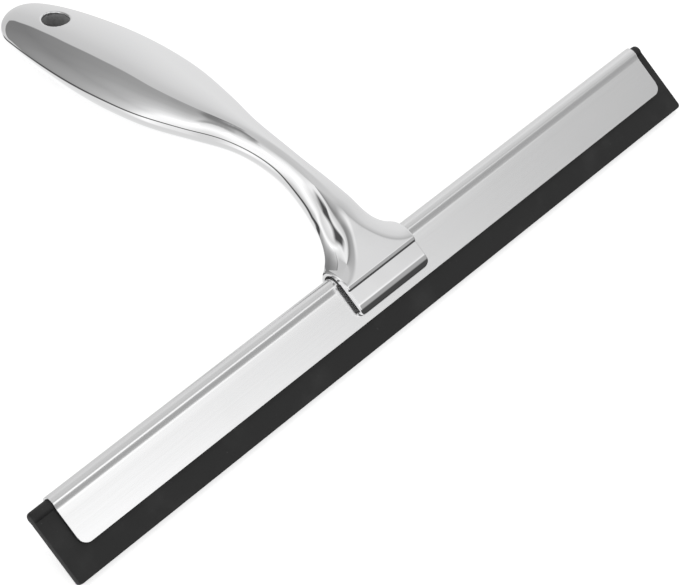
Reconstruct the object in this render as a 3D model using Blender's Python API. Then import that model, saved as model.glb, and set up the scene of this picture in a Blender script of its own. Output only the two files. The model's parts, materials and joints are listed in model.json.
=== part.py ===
"""A T-shaped window squeegee: a cast handle, a folded blade channel and a rubber strip.

Blender 4.5, metres, +Z up. The pieces are drawn in the squeegee's own axes: X along the blade, Y up the
blade plane from the channel's mouth towards the handle, Z out of the channel's front face, which is at 0.
An empty then lays the whole squeegee down, front face up, on its rubber edge and the end of its handle.
The origin is the middle of the bounding box's base.
"""

import math

import bpy
from mathutils import Matrix, Vector

# Driving dimensions, metres
RUBBER_LENGTH = 0.2540
LIP_HEIGHT = 0.0076
WEB_THICKNESS = 0.0024
BULB_RADIUS = 0.0023
CHANNEL_LENGTH = 0.2440
CHANNEL_OFFSET = 0.0018
SHEET = 0.0007
LEG_GAP = 0.0030
BEAD_RADIUS = 0.0033
BEAD_HEIGHT = 0.01345
SADDLE_WIDTH = 0.0284
HANDLE_OFFSET = 0.0035
LIP_FRONT = 0.0030
STEP_HEIGHT = 0.0106
SADDLE_MOUTH = 0.0022
ARCH_INNER = 0.0042
ARCH_OUTER = 0.0061
REAR_INNER = 0.0061
REAR_OUTER = 0.0092
REAR_MOUTH = 0.0034
REAR_SHOULDER_HEIGHT = 0.01245
REAR_CAVITY_HEIGHT = 0.00995
LIP_ROUND = 0.0026
REAR_LIP_ROUND = 0.0018
REAR_SHOULDER_ROUND = 0.0025
STEP_SLOPE = 0.0010
PLATE_SIZE = (0.0240, 0.0056, 0.0008)
CLAMP_HEIGHT = 0.0070
SCREW_SPACING = 0.0150
SCREW_RADIUS = 0.0020
SCREW_LENGTH = 0.0034
SOCKET_RADIUS = 0.00115
SOCKET_DEPTH = 0.0016
SCREW_SIDES = 28
CLEARANCE = 0.0003
HOLE_ALONG = 0.0052
HOLE_ACROSS = 0.0038
HOLE_AT = 0.1307
HOLE_LEAN = math.radians(36)

# How far a cutter stands past what it cuts.
CUT_PAST = 0.005

# The channel's middle plane, halfway between its two legs.
MIDDLE = -(SHEET + LEG_GAP / 2)
CHANNEL_BACK = 2 * MIDDLE

# Stations along the handle's centreline: distance, slope below the blade plane in degrees, width, thickness.
STATIONS = [
    (0.000, -7, 0.0276, 0.0118),
    (0.004, -3, 0.0216, 0.0118),
    (0.010, 3, 0.0160, 0.0120),
    (0.018, 12, 0.0122, 0.0122),
    (0.032, 25, 0.0092, 0.0110),
    (0.048, 38, 0.0118, 0.0108),
    (0.063, 44, 0.0196, 0.0133),
    (0.079, 44, 0.0266, 0.0170),
    (0.094, 44, 0.0290, 0.0196),
    (0.109, 44, 0.0288, 0.0198),
    (0.124, 45, 0.0262, 0.0182),
    (0.137, 48, 0.0226, 0.0162),
    (0.146, 52, 0.0190, 0.0142),
    (0.1548, 57, 0.0160, 0.0130),
]
CENTRELINE_START = (0.0184, -0.0024)
RING_POINTS = 28
RING_SPACING = 0.004
TIP_LENGTH = 0.0085
TIP_RINGS = 7
TIP_TURN = math.radians(86.4)


def arc(centre, radius, start, end, steps):
    """Points on a circle from one angle to another, in degrees from +Y towards +Z."""
    angles = [math.radians(start + (end - start) * i / steps) for i in range(steps + 1)]
    return [(centre[0] + radius * math.cos(a), centre[1] + radius * math.sin(a)) for a in angles]


def add_mesh(name, points, faces, pose, location=(0, 0, 0)):
    """A mesh object whose points are given in the squeegee's axes, with its origin at location."""
    shift = Vector(location)
    mesh = bpy.data.meshes.new(name)
    mesh.from_pydata([Vector(p) - shift for p in points], [], faces)
    mesh.update()
    obj = bpy.data.objects.new(name, mesh)
    bpy.context.scene.collection.objects.link(obj)
    obj.parent = pose
    obj.location = shift
    return obj


def loft(name, rings, pose, location=(0, 0, 0)):
    """A closed skin over rings of equal length, with a flat cap on each end."""
    count = len(rings[0])
    points = [p for ring in rings for p in ring]
    faces = [list(range(count))[::-1], [(len(rings) - 1) * count + i for i in range(count)]]
    for r in range(len(rings) - 1):
        for i in range(count):
            j = (i + 1) % count
            faces.append([r * count + i, r * count + j, (r + 1) * count + j, (r + 1) * count + i])
    return add_mesh(name, points, faces, pose, location)


def prism(name, outline, x_low, x_high, pose, location=(0, 0, 0)):
    """A (Y, Z) outline, given anticlockwise seen from +X, extruded along X."""
    return loft(name, [[(x, y, z) for y, z in outline] for x in (x_low, x_high)], pose, location)


def cutter(obj):
    obj.hide_render = True
    obj.display_type = "WIRE"
    return obj


def combine(obj, other, operation):
    boolean = obj.modifiers.new(operation.title(), "BOOLEAN")
    boolean.operation = operation
    boolean.solver = "EXACT"
    boolean.object = cutter(other)


def finish(obj, colour, metallic, roughness):
    material = bpy.data.materials.new(obj.name)
    material.use_nodes = True
    shader = material.node_tree.nodes["Principled BSDF"]
    shader.inputs["Base Color"].default_value = (*colour, 1)
    shader.inputs["Metallic"].default_value = metallic
    shader.inputs["Roughness"].default_value = roughness
    obj.data.materials.append(material)


def at_distance(distance, column):
    """A station value at a distance along the handle, on a smooth curve through the stations."""
    last = len(STATIONS) - 1
    k = min(max(sum(s[0] <= distance for s in STATIONS) - 1, 0), last - 1)

    def slope(i):
        a, b = STATIONS[max(i - 1, 0)], STATIONS[min(i + 1, last)]
        return (b[column] - a[column]) / (b[0] - a[0])

    here, there = STATIONS[k], STATIONS[k + 1]
    gap = there[0] - here[0]
    t = (distance - here[0]) / gap
    ease = t * t * (3 - 2 * t)
    bulge_here = t * (1 - t) ** 2 * slope(k) * gap
    bulge_there = t * t * (t - 1) * slope(k + 1) * gap
    return here[column] * (1 - ease) + there[column] * ease + bulge_here + bulge_there


def centreline(distance):
    """(y, z, slope) on the handle's centreline, by adding up short straight steps."""
    steps = 400
    y, z = CENTRELINE_START
    for i in range(steps):
        angle = math.radians(at_distance(distance * (i + 0.5) / steps, 1))
        y += math.cos(angle) * distance / steps
        z -= math.sin(angle) * distance / steps
    return y, z, math.radians(at_distance(distance, 1))


def handle_ring(distance, scale):
    """One oval section of the handle, square to its centreline."""
    y, z, slope = centreline(distance)
    width, thickness = at_distance(distance, 2) * scale, at_distance(distance, 3) * scale
    ring = []
    for i in range(RING_POINTS):
        angle = 2 * math.pi * i / RING_POINTS
        across, out = math.sin(angle) * width / 2, math.cos(angle) * thickness / 2
        ring.append((HANDLE_OFFSET + across, y + out * math.sin(slope), z + out * math.cos(slope)))
    return ring


def handle_rings():
    """Sections from the saddle to the rounded end, closer together over the end."""
    length = STATIONS[-1][0]
    straight = length - TIP_LENGTH
    count = round(straight / RING_SPACING)
    rings = [handle_ring(straight * i / count, 1) for i in range(count + 1)]
    for i in range(1, TIP_RINGS + 1):
        angle = TIP_TURN * i / TIP_RINGS
        rings.append(handle_ring(straight + TIP_LENGTH * math.sin(angle), math.cos(angle)))
    return rings


def saddle_outline():
    """The saddle's outer outline: front lip, step, arch over the bead, and the thick rear wall."""
    arch = (BEAD_HEIGHT, MIDDLE)
    step_front = MIDDLE + ARCH_OUTER
    front_corner = (SADDLE_MOUTH + LIP_ROUND, LIP_FRONT - LIP_ROUND)
    rear_corner = (REAR_MOUTH + REAR_LIP_ROUND, REAR_LIP_ROUND - REAR_OUTER)
    shoulder = (REAR_SHOULDER_HEIGHT, REAR_SHOULDER_ROUND - REAR_OUTER)
    return (
        arc(front_corner, LIP_ROUND, 180, 90, 5)
        + [(STEP_HEIGHT - STEP_SLOPE, LIP_FRONT), (STEP_HEIGHT, step_front)]
        + arc(arch, ARCH_OUTER, 90, -55, 16)
        + arc(shoulder, REAR_SHOULDER_ROUND, 315, 270, 4)
        + arc(rear_corner, REAR_LIP_ROUND, 270, 180, 5)
    )


def cavity_outline():
    """The slot for the channel's legs and the clamp plate, and the round seat for the bead."""
    front = math.degrees(math.asin((CLEARANCE - MIDDLE) / ARCH_INNER))
    return (
        [(-CUT_PAST, CLEARANCE)]
        + arc((BEAD_HEIGHT, MIDDLE), ARCH_INNER, 180 - front, -90, 22)
        + [(REAR_CAVITY_HEIGHT, -REAR_INNER), (-CUT_PAST, -REAR_INNER)]
    )


def channel_outline():
    """The folded sheet: two legs and the bead, open along the mouth."""
    bead = (BEAD_HEIGHT, MIDDLE)
    inner_radius = BEAD_RADIUS - SHEET
    outer = math.degrees(math.asin(-MIDDLE / BEAD_RADIUS))
    inner = math.degrees(math.asin(LEG_GAP / 2 / inner_radius))
    return (
        [(0, 0)]
        + arc(bead, BEAD_RADIUS, 180 - outer, outer - 180, 26)
        + [(0, CHANNEL_BACK), (0, CHANNEL_BACK + SHEET)]
        + arc(bead, inner_radius, inner - 180, 180 - inner, 22)
        + [(0, -SHEET)]
    )


def root_outline():
    """The strip's bulb, and its web down to just above the lip."""
    bulb = (BEAD_HEIGHT, MIDDLE)
    web = math.degrees(math.asin(WEB_THICKNESS / 2 / BULB_RADIUS))
    bottom = WEB_THICKNESS / 2 + CLEARANCE
    return (
        [(bottom, MIDDLE + WEB_THICKNESS / 2)]
        + arc(bulb, BULB_RADIUS, 180 - web, web - 180, 24)
        + [(bottom, MIDDLE - WEB_THICKNESS / 2)]
    )


def lip_outline():
    """The exposed strip, with a half-round top about the line on which it bends."""
    half = WEB_THICKNESS / 2
    return arc((0, MIDDLE), half, 90, -90, 10) + [
        (-LIP_HEIGHT, MIDDLE - half),
        (-LIP_HEIGHT, MIDDLE + half),
    ]


def hole_rings():
    """Two ovals that the hanging hole runs between, past both faces of the grip."""
    y, z, slope = centreline(HOLE_AT)
    out = Vector((0, math.sin(HOLE_LEAN), math.cos(HOLE_LEAN)))
    along = Vector((0, math.cos(HOLE_LEAN), -math.sin(HOLE_LEAN)))
    middle = Vector((HANDLE_OFFSET, y, z))
    rings = []
    reach = at_distance(HOLE_AT, 3) / 2 + 2 * CUT_PAST
    for end in (-reach, reach):
        ring = []
        for i in range(32):
            angle = 2 * math.pi * i / 32
            across = Vector((math.cos(angle) * HOLE_ACROSS, 0, 0))
            ring.append(middle + out * end + across + along * math.sin(angle) * HOLE_ALONG)
        rings.append(ring)
    return rings


def round_rings(x, radius, z_low, z_high, sides):
    """Two circles square to Z, at the height of the clamp screws."""
    turn = [2 * math.pi * i / sides for i in range(sides)]
    flat = [(x + radius * math.cos(a), CLAMP_HEIGHT + radius * math.sin(a)) for a in turn]
    return [[(px, py, z) for px, py in flat] for z in (z_low, z_high)]


def screw_places():
    """The two screws' names and where they stand along the blade."""
    half = SCREW_SPACING / 2
    return (("left", HANDLE_OFFSET - half), ("right", HANDLE_OFFSET + half))


def make_handle(pose, rings):
    """The casting: saddle and grip in one, with the slot, the hanging hole and the screw holes cut out."""
    low, high = HANDLE_OFFSET - SADDLE_WIDTH / 2, HANDLE_OFFSET + SADDLE_WIDTH / 2
    handle = prism("handle", saddle_outline()[::-1], low, high, pose)
    combine(handle, loft("grip_shape", rings, pose), "UNION")
    slot = cavity_outline()[::-1]
    combine(handle, prism("slot_cutter", slot, low - CUT_PAST, high + CUT_PAST, pose), "DIFFERENCE")
    combine(handle, loft("hole_cutter", hole_rings(), pose), "DIFFERENCE")
    back, inside = -REAR_OUTER - CUT_PAST, LEG_GAP / 2 - REAR_INNER
    for side, x in screw_places():
        bore = round_rings(x, SCREW_RADIUS + CLEARANCE, back, inside, SCREW_SIDES)
        combine(handle, loft(f"screw_cutter_{side}", bore, pose), "DIFFERENCE")
    finish(handle, (0.82, 0.82, 0.84), 1.0, 0.06)


def make_channel(pose):
    low, high = CHANNEL_OFFSET - CHANNEL_LENGTH / 2, CHANNEL_OFFSET + CHANNEL_LENGTH / 2
    origin = (CHANNEL_OFFSET, 0, MIDDLE)
    channel = prism("blade_channel", channel_outline()[::-1], low, high, pose, origin)
    finish(channel, (0.74, 0.74, 0.75), 1.0, 0.18)


def make_rubber(pose):
    half = RUBBER_LENGTH / 2
    mouth = (0, 0, MIDDLE)
    root = prism("rubber_root", root_outline()[::-1], -half, half, pose, mouth)
    lip = prism("rubber_lip", lip_outline()[::-1], -half, half, pose, mouth)
    for piece in (root, lip):
        finish(piece, (0.035, 0.035, 0.037), 0.0, 0.6)


def make_clamp(pose):
    """The plate behind the channel, and the two set screws that press on it."""
    length, height, thickness = PLATE_SIZE
    front = CHANNEL_BACK - CLEARANCE
    back = front - thickness
    low, high = CLAMP_HEIGHT - height / 2, CLAMP_HEIGHT + height / 2
    outline = [(low, front), (low, back), (high, back), (high, front)]
    x_low, x_high = HANDLE_OFFSET - length / 2, HANDLE_OFFSET + length / 2
    plate = prism("clamp_plate", outline, x_low, x_high, pose, (HANDLE_OFFSET, CLAMP_HEIGHT, back))
    finish(plate, (0.55, 0.55, 0.57), 1.0, 0.35)
    tip = back - CLEARANCE
    for side, x in screw_places():
        rings = round_rings(x, SCREW_RADIUS, tip - SCREW_LENGTH, tip, SCREW_SIDES)
        screw = loft(f"clamp_screw_{side}", rings, pose, (x, CLAMP_HEIGHT, tip))
        bottom = tip - SCREW_LENGTH
        socket = round_rings(x, SOCKET_RADIUS, bottom - CUT_PAST, bottom + SOCKET_DEPTH, 6)
        combine(screw, loft(f"socket_cutter_{side}", socket, pose), "DIFFERENCE")
        finish(screw, (0.45, 0.45, 0.47), 1.0, 0.3)


def lying_pose(rings):
    """Lays the squeegee on the lip's rear edge and the handle's end, over the middle of its base."""
    edge = (-LIP_HEIGHT, MIDDLE - WEB_THICKNESS / 2)
    front_edge = (-LIP_HEIGHT, MIDDLE + WEB_THICKNESS / 2)
    casting = [(p[1], p[2]) for ring in rings for p in ring] + saddle_outline()

    def height(point, tilt):
        return point[0] * math.sin(tilt) + point[1] * math.cos(tilt)

    low, high = 0.0, math.radians(80)
    for _ in range(60):
        tilt = (low + high) / 2
        if min(height(p, tilt) for p in casting) < height(edge, tilt):
            low = tilt
        else:
            high = tilt
    spread = [p[0] * math.cos(high) - p[1] * math.sin(high) for p in casting + [edge, front_edge]]
    pose = bpy.data.objects.new("lying_pose", None)
    bpy.context.scene.collection.objects.link(pose)
    middle = (min(spread) + max(spread)) / 2
    place = Matrix.Translation((0, -middle, -height(edge, high)))
    pose.matrix_world = place @ Matrix.Rotation(high, 4, "X")
    return pose


for old in list(bpy.data.objects):
    bpy.data.objects.remove(old)
grip_rings = handle_rings()
lying = lying_pose(grip_rings)
make_handle(lying, grip_rings)
make_channel(lying)
make_rubber(lying)
make_clamp(lying)
for piece in list(bpy.data.objects):
    if piece.type == "MESH":
        piece.data.shade_smooth()
        piece.data.set_sharp_from_angle(angle=math.radians(40))
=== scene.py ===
"""A chrome window squeegee with a 10 inch rubber strip, lying face up on a pale studio floor."""
import json
import math

import bmesh
import bpy
import numpy as np
from mathutils import Matrix, Vector


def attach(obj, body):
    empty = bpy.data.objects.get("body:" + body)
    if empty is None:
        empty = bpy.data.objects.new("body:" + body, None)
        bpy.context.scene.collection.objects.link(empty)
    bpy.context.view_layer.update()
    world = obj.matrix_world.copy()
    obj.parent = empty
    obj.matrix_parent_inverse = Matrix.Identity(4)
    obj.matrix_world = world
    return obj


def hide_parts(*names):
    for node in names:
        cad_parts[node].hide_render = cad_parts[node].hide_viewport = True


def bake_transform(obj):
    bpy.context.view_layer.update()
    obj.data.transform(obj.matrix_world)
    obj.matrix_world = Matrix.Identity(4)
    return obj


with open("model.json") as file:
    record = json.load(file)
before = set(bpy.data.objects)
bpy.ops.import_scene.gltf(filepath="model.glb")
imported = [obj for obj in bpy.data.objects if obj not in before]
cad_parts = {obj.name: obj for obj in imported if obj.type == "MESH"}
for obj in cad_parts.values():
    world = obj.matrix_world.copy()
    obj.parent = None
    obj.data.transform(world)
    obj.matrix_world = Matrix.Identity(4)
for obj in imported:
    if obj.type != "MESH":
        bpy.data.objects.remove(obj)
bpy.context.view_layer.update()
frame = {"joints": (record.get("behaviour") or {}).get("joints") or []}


# ---- Camera and the squeegee's own axes ----
# The tool lies on its strip and on the end of its handle, so its blade leans back. The clamp plate backs off
# square to the blade, and the strip bends on the line of the channel's mouth: together they give the blade's
# axes, X along it, Y up it towards the handle and Z out of the channel's front face, which is at 0.

joints = {joint["name"]: joint for joint in frame["joints"]}
MOUTH_DEPTH = 0.0022

along_blade = Vector((1, 0, 0))
out_of_face = -Vector(joints["plate_release"]["axis"]).normalized()
up_blade = out_of_face.cross(along_blade)
face_corner = Vector(joints["lip_bend"]["pos_m"]) + MOUTH_DEPTH * out_of_face
lay = Matrix.Translation(face_corner) @ Matrix((along_blade, up_blade, out_of_face)).transposed().to_4x4()

CAMERA_HEADING = math.radians(49.11)
CAMERA_ELEVATION = math.radians(49.02)
CAMERA_ROLL = math.radians(3.24)
CAMERA_DISTANCE = 0.7664
CAMERA_LENS = 143.15
AIM = Vector((-0.01255, -0.07129, 0.015))

heading = Matrix.Rotation(-CAMERA_HEADING, 3, "Z")
tilt = Matrix.Rotation(math.pi / 2 - CAMERA_ELEVATION, 3, "X")
roll = Matrix.Rotation(CAMERA_ROLL, 3, "Z")
turn = heading @ tilt @ roll
camera = bpy.data.objects.new("camera", bpy.data.cameras.new("camera"))
camera.data.lens = CAMERA_LENS
camera.data.clip_start = 0.01
camera.matrix_world = Matrix.Translation(AIM + turn @ Vector((0, 0, CAMERA_DISTANCE))) @ turn.to_4x4()
bpy.context.scene.collection.objects.link(camera)
bpy.context.scene.camera = camera


# ---- Studio ----
# A pale paper floor that runs out of sight, and a light tent round it: a grey panel over the right, a bright
# wall on the left and, behind the grip, a dark screen whose hard right edge draws a line along the chrome.

FLOOR_REACH = 6.0
FLOOR_GREY = 0.86
FLOOR_LIFT = 0.62


def grey(value):
    """An even grey as a colour."""
    return (value, value, value, 1)


def material_tree(name):
    """A new material with its node tree and its Principled shader."""
    material = bpy.data.materials.new(name)
    material.use_nodes = True
    return material, material.node_tree, material.node_tree.nodes["Principled BSDF"]


def add_node(tree, kind, values=(), **settings):
    """A shader node with its settings; values or other nodes' outputs feed its inputs."""
    node = tree.nodes.new("ShaderNode" + kind)
    for name, value in settings.items():
        setattr(node, name, value)
    for key, value in dict(values).items():
        if isinstance(value, bpy.types.NodeSocket):
            tree.links.new(value, node.inputs[key])
        else:
            node.inputs[key].default_value = value
    return node


def sum_of(tree, operation, first, second=0.0, third=0.0, clamp=False):
    """The output of one Math node."""
    values = {0: first, 1: second, 2: third}
    return add_node(tree, "Math", values, operation=operation, use_clamp=clamp).outputs[0]


def eased(tree, value, low, high):
    """0 below low, 1 above high, and a smooth rise between; high may be the smaller one."""
    values = {"Value": value, "From Min": low, "From Max": high}
    return add_node(tree, "MapRange", values, interpolation_type="SMOOTHSTEP").outputs["Result"]


def band(tree, value, starts, full, fades, ends):
    """0 outside starts and ends, and 1 between full and fades."""
    return sum_of(tree, "MULTIPLY", eased(tree, value, starts, full), eased(tree, value, ends, fades))


def brightness_by_angle(tree, angle, stops):
    """A smooth grey that passes through (angle in degrees, brightness) stops."""
    full_turn = {"Value": angle, "From Min": -180.0, "From Max": 180.0}
    share = add_node(tree, "MapRange", full_turn).outputs["Result"]
    ramp = add_node(tree, "ValToRGB", {"Fac": share})
    points = ramp.color_ramp.elements
    while len(points) < len(stops):
        points.new(0.5)
    for point, (at, value) in zip(points, stops):
        point.position, point.color = (at + 180) / 360, grey(value / BRIGHTEST)
    return sum_of(tree, "MULTIPLY", ramp.outputs["Color"], BRIGHTEST)


def blended(tree, share, first, second):
    """first where share is 0 and second where it is 1."""
    values = {"Factor": share, "A": first, "B": second}
    return add_node(tree, "Mix", values, data_type="FLOAT").outputs["Result"]


floor_mesh = bpy.data.meshes.new("floor")
corners = [(-1, -1), (1, -1), (1, 1), (-1, 1)]
floor_mesh.from_pydata([(x * FLOOR_REACH, y * FLOOR_REACH, 0) for x, y in corners], [], [(0, 1, 2, 3)])
floor = bpy.data.objects.new("floor", floor_mesh)
floor.visible_glossy = False
bpy.context.scene.collection.objects.link(floor)
paper, tree, shader = material_tree("floor_paper")
shader.inputs["Base Color"].default_value = grey(FLOOR_GREY)
shader.inputs["Roughness"].default_value = 0.9
shader.inputs["Specular IOR Level"].default_value = 0.0
shader.inputs["Emission Color"].default_value = grey(1)
seen = add_node(tree, "LightPath").outputs["Is Camera Ray"]
tree.links.new(sum_of(tree, "MULTIPLY", seen, FLOOR_LIFT), shader.inputs["Emission Strength"])
floor_mesh.materials.append(paper)

# Brightness round the tent by compass angle from +Y towards +X: at mid height, near the top, and low down.
BRIGHTEST = 1.4
TENT_MIDDLE = [
    (-180, 0.95), (-110, 0.95), (-80, 0.72), (-68, 1.1), (-55, 0.8), (0, 0.58), (15, 0.62), (30, 0.70),
    (50, 0.79), (75, 0.76), (105, 0.69), (120, 0.56), (127, 0.47), (136, 0.80), (146, 1.32), (165, 1.10),
    (180, 0.95),
]
TENT_TOP = [
    (-180, 0.27), (-174, 0.29), (-164, 0.65), (-150, 0.75), (-138, 0.9), (-75, 0.93), (-58, 0.8),
    (-45, 0.57), (0, 0.57), (60, 0.61), (120, 0.61), (140, 0.46), (158, 0.38), (172, 0.28), (180, 0.27),
]
TENT_LOW = [
    (-180, 0.75), (-75, 0.72), (-45, 0.75), (-25, 0.82), (-12, 1.05), (45, 1.0), (70, 0.85), (120, 0.7),
    (180, 0.75),
]
SCREEN = [
    (-180, 1.0), (-66, 1.05), (-60, 0.70), (-52, 0.48), (-45, 0.38), (-30, 0.26), (-15, 0.215), (10, 0.20),
    (180, 0.2),
]

# The screen's outline in degrees. Its top curves down left of the bend, its foot rises left of the knee, and
# its right edge leans with height.
SCREEN_TOP = 56.5
SCREEN_BEND = -25.0
SCREEN_TOP_CURVE = -0.0165
SCREEN_FOOT = -37.0
SCREEN_KNEE = -30.0
SCREEN_FOOT_CURVE = 0.1466
SCREEN_FOOT_POWER = 1.4
SCREEN_LEAN = 0.85
LIT_ABOVE = 15.0
LIT_RISE = 0.02
TOP_LINE_SHADE = 0.45

CARD_GREY = 0.08
GAP_GREY = 0.07
OPENING_GREY = 0.41
KNEES_GREY = 0.065

world = bpy.data.worlds.new("light_tent")
bpy.context.scene.world = world
world.use_nodes = True
tree = world.node_tree
way = add_node(tree, "SeparateXYZ", {0: add_node(tree, "TexCoord").outputs["Generated"]})
compass = sum_of(tree, "DEGREES", sum_of(tree, "ARCTAN2", way.outputs["X"], way.outputs["Y"]))
height = sum_of(tree, "DEGREES", sum_of(tree, "ARCSINE", way.outputs["Z"]))
walls = brightness_by_angle(tree, compass, TENT_MIDDLE)
tent = blended(tree, eased(tree, height, 45.0, 62.0), walls, brightness_by_angle(tree, compass, TENT_TOP))
tent = blended(tree, eased(tree, height, -28.0, -42.0), tent, brightness_by_angle(tree, compass, TENT_LOW))

# The dark screen. A thin darker line runs along its top.
past_bend = sum_of(tree, "MINIMUM", sum_of(tree, "SUBTRACT", compass, SCREEN_BEND), 0.0)
top = sum_of(tree, "MULTIPLY", past_bend, past_bend)
top = sum_of(tree, "MULTIPLY_ADD", top, SCREEN_TOP_CURVE, SCREEN_TOP)
past_knee = sum_of(tree, "MAXIMUM", sum_of(tree, "SUBTRACT", SCREEN_KNEE, compass), 0.0)
foot = sum_of(tree, "POWER", past_knee, SCREEN_FOOT_POWER)
foot = sum_of(tree, "MULTIPLY_ADD", foot, SCREEN_FOOT_CURVE, SCREEN_FOOT)
under_top = sum_of(tree, "SUBTRACT", top, height)
over_foot = sum_of(tree, "SUBTRACT", height, foot)
right_edge = sum_of(tree, "MULTIPLY", sum_of(tree, "MINIMUM", height, 0.0), SCREEN_LEAN)
inside = sum_of(tree, "SUBTRACT", right_edge, compass)
mask = sum_of(tree, "MULTIPLY", eased(tree, under_top, -0.8, 0.8), eased(tree, over_foot, -0.8, 0.8))
mask = sum_of(tree, "MULTIPLY", mask, eased(tree, inside, -1.0, 1.0))
mask = sum_of(tree, "MULTIPLY", mask, eased(tree, compass, -74.0, -66.0))
lift = sum_of(tree, "MAXIMUM", sum_of(tree, "SUBTRACT", height, LIT_ABOVE), 0.0)
lift = sum_of(tree, "MULTIPLY_ADD", lift, LIT_RISE, 1.0)
screen = sum_of(tree, "MULTIPLY", brightness_by_angle(tree, compass, SCREEN), lift)
edge = sum_of(tree, "MULTIPLY", eased(tree, under_top, 4.0, 1.5), eased(tree, compass, -60.0, -45.0))
edge = sum_of(tree, "MULTIPLY", edge, TOP_LINE_SHADE)
screen = sum_of(tree, "MULTIPLY", screen, sum_of(tree, "SUBTRACT", 1.0, edge))
tent = blended(tree, mask, tent, screen)

# A small black card high on the left, which shades the neck.
card = band(tree, compass, -138.0, -124.0, -100.0, -78.0)
card = sum_of(tree, "MULTIPLY", card, band(tree, height, 37.0, 50.0, 64.0, 78.0))
tent = blended(tree, card, tent, CARD_GREY)

# The gap where the tent stands on the table is a thin dark line.
gap = eased(tree, sum_of(tree, "ABSOLUTE", over_foot), 4.2, 1.6)
gap = sum_of(tree, "MULTIPLY", gap, band(tree, compass, -92.0, -82.0, -12.0, 0.0))
tent = blended(tree, gap, tent, GAP_GREY)

# The opening that the camera looks through, grey from the knees down.
opening = band(tree, compass, 112.0, 128.0, 166.0, 179.0)
opening = sum_of(tree, "MULTIPLY", opening, band(tree, height, -45.0, -35.0, 31.0, 38.5))
tent = blended(tree, opening, tent, OPENING_GREY)
knees = eased(tree, sum_of(tree, "ABSOLUTE", compass), 112.0, 128.0)
knees = sum_of(tree, "MULTIPLY", knees, band(tree, height, -72.0, -62.0, 3.0, 15.0))
tent = blended(tree, knees, tent, KNEES_GREY)

seen = add_node(tree, "LightPath").outputs["Is Camera Ray"]
tent = blended(tree, seen, tent, 1.0)
tree.links.new(tent, tree.nodes["Background"].inputs["Color"])
bpy.context.scene.view_settings.view_transform = "Standard"


# ---- Handle ----
# One zinc die casting, polished and chrome plated: a flattened oval grip with a hanging hole, a slim neck
# and a bell-shaped saddle whose front lip and thick rear wall straddle the blade channel. Its whole skin is
# one surface, worked out from distances to simple shapes that run into each other with small fillets.

HANDLE_OFFSET = 0.0035
BEAD_HEIGHT = 0.01345
BEAD_AXIS = 0.0141
SADDLE_HALF = 0.0142
LIP_FRONT = 0.0030
STEP_HEIGHT = 0.0106
SADDLE_MOUTH = 0.0022
ARCH_INNER = 0.0033
ARCH_OUTER = 0.0061
LIP_ROUND = 0.0026
LIP_SQUASH = 0.70
LIP_SOLID = 0.0038
LIP_HOLLOW = 0.0016
REAR_INNER = 0.0061
REAR_OUTER = 0.0092
REAR_MOUTH = 0.0034
REAR_TOP = 0.0130
REAR_ROUND = 0.0026
CLEARANCE = 0.0003
BELOW_MOUTH = -0.01
SLOT_CORNER = 0.0001
SLOT_EDGE = 0.0003
POCKET_DROP = 0.0035
POCKET_LAP = 0.001
HOLLOW_CORNER = 0.0003
SCREW_HEIGHT = 0.0070
SCREW_REACH = 0.0075
SCREW_BORE = 0.0023
SCREW_BORE_EDGE = 0.0002
HOLE_ALONG = 0.0052
HOLE_ACROSS = 0.0036
HOLE_AT = 0.1316
HOLE_LEAN = math.radians(36)
HOLE_RIM = 0.0007
CENTRELINE_START = (0.0184, -0.0024)
TIP_LENGTH = 0.0118
TIP_POWER = 2.5

# Along the centreline: distance, slope below the blade in degrees, width, thickness.
GRIP_STATIONS = np.array([
    (0.000, -7, 0.0276, 0.0118),
    (0.004, -3, 0.0216, 0.0118),
    (0.010, 3, 0.0160, 0.0120),
    (0.018, 12, 0.0122, 0.0122),
    (0.032, 25, 0.0092, 0.0110),
    (0.048, 38, 0.0118, 0.0108),
    (0.063, 44, 0.0196, 0.0133),
    (0.079, 44, 0.0266, 0.0170),
    (0.094, 44, 0.0290, 0.0196),
    (0.109, 44, 0.0288, 0.0198),
    (0.124, 45, 0.0262, 0.0182),
    (0.137, 48, 0.0226, 0.0162),
    (0.146, 52, 0.0190, 0.0142),
    (0.1548, 57, 0.0160, 0.0130),
])
GRIP_LENGTH = GRIP_STATIONS[-1, 0]
SAMPLE = 0.00025
SAMPLES_PAST_ENDS = 24
STATION_SOFTENING = 0.0020


def smooth_columns(distance, stations):
    """The stations' values at each distance: a smooth curve through them, then softened along the handle."""
    at, values = stations[:, 0], stations[:, 1:]
    slopes = np.empty_like(values)
    slopes[1:-1] = (values[2:] - values[:-2]) / (at[2:] - at[:-2])[:, None]
    slopes[0] = (values[1] - values[0]) / (at[1] - at[0])
    slopes[-1] = (values[-1] - values[-2]) / (at[-1] - at[-2])
    k = np.clip(np.searchsorted(at, distance, side="right") - 1, 0, len(at) - 2)
    gap = (at[k + 1] - at[k])[:, None]
    t = np.clip((distance - at[k])[:, None] / gap, 0, 1)
    ease = t * t * (3 - 2 * t)
    bulges = t * (1 - t) ** 2 * slopes[k] * gap + t * t * (t - 1) * slopes[k + 1] * gap
    curve = values[k] * (1 - ease) + values[k + 1] * ease + bulges
    reach = int(3 * STATION_SOFTENING / SAMPLE)
    bell = np.exp(-0.5 * (np.arange(-reach, reach + 1) * SAMPLE / STATION_SOFTENING) ** 2)
    bell /= bell.sum()
    padded = np.pad(curve, ((reach, reach), (0, 0)), mode="edge")
    return np.stack([np.convolve(column, bell, mode="valid") for column in padded.T], axis=1)


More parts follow.
